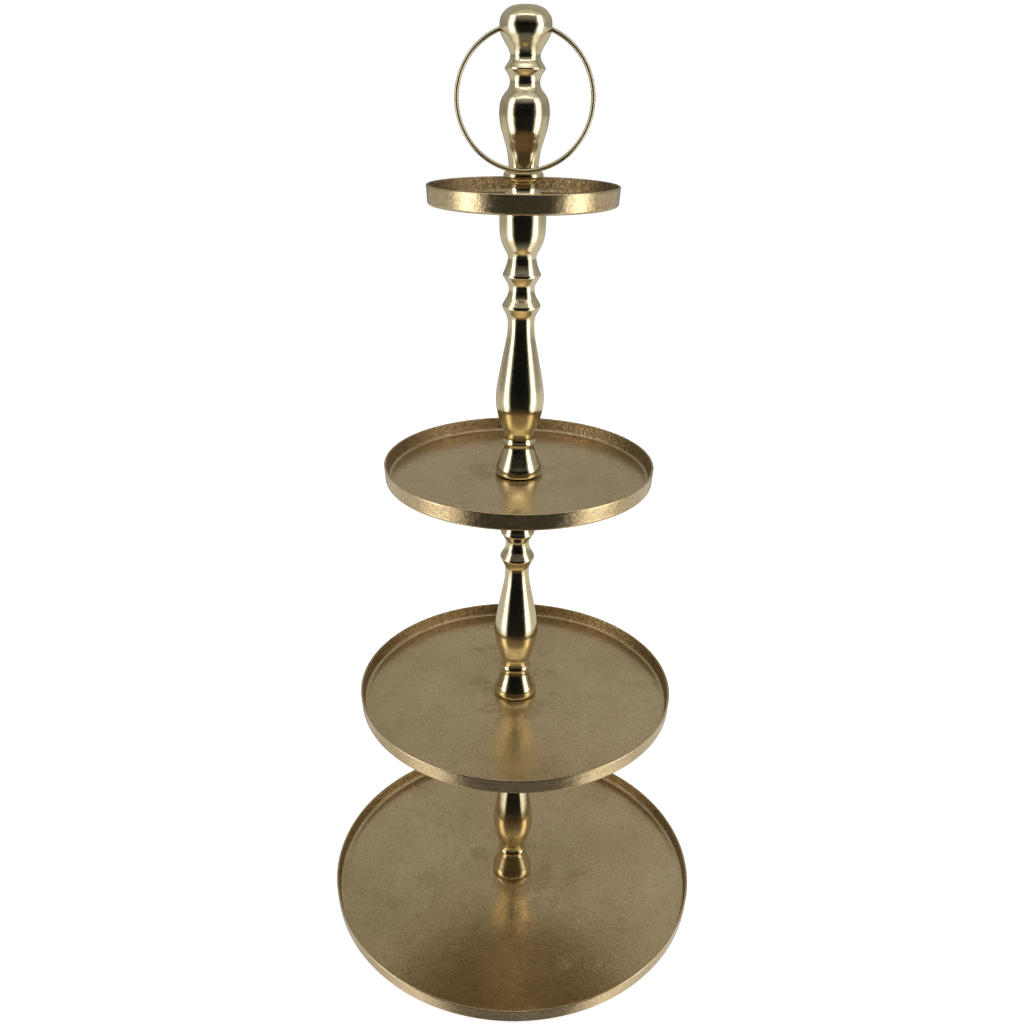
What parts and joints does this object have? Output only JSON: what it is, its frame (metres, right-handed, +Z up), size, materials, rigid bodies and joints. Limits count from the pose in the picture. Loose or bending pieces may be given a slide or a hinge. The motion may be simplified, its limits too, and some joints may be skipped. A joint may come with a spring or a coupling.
{
  "type": "tiered cake stand",
  "caption": "Tall tiered stand of round low-rimmed trays on a turned baluster column, with a ball finial and a swinging carrying ring",
  "frame": {"origin": "centre of the column line at the underside of the rubber feet, on the table", "axes": "+Z up along the column; -Y toward the side on which the carrying ring hangs; +X to the right seen from that side"},
  "size_m": [0.4998, 0.4998, 1.117],
  "materials": {
    "cast_tray": "satin champagne-gold cast tray, lightly pitted",
    "turned_metal": "polished champagne-gold turned metal",
    "ring_wire": "polished champagne-gold wire",
    "fastener_steel": "zinc-plated steel",
    "pad": "thin dark protective pad",
    "foot_rubber": "soft black rubber"
  },
  "bodies": {
    "stand": {"tray_bottom": "cast_tray", "tray_lower": "cast_tray", "tray_upper": "cast_tray", "tray_top": "cast_tray", "column_lower": "turned_metal", "column_middle": "turned_metal", "column_upper": "turned_metal", "finial": "turned_metal", "stud_lower": "fastener_steel", "stud_upper": "fastener_steel", "stud_top": "fastener_steel", "base_screw": "fastener_steel", "base_washer": "fastener_steel", "pad_bottom": "pad", "pad_lower": "pad", "pad_upper": "pad", "pad_top": "pad", "foot_back_right": "foot_rubber", "foot_back_left": "foot_rubber", "foot_front_left": "foot_rubber", "foot_front_right": "foot_rubber"},
    "ring": {"carrying_ring": "ring_wire"}
  },
  "joints": [
    {"name": "ring_swing", "type": "hinge", "parent": "stand", "child": "ring", "pos_m": [0, 0, 1.0975], "axis": [-1, 0, 0], "range_deg": [0, 340]}
  ]
}
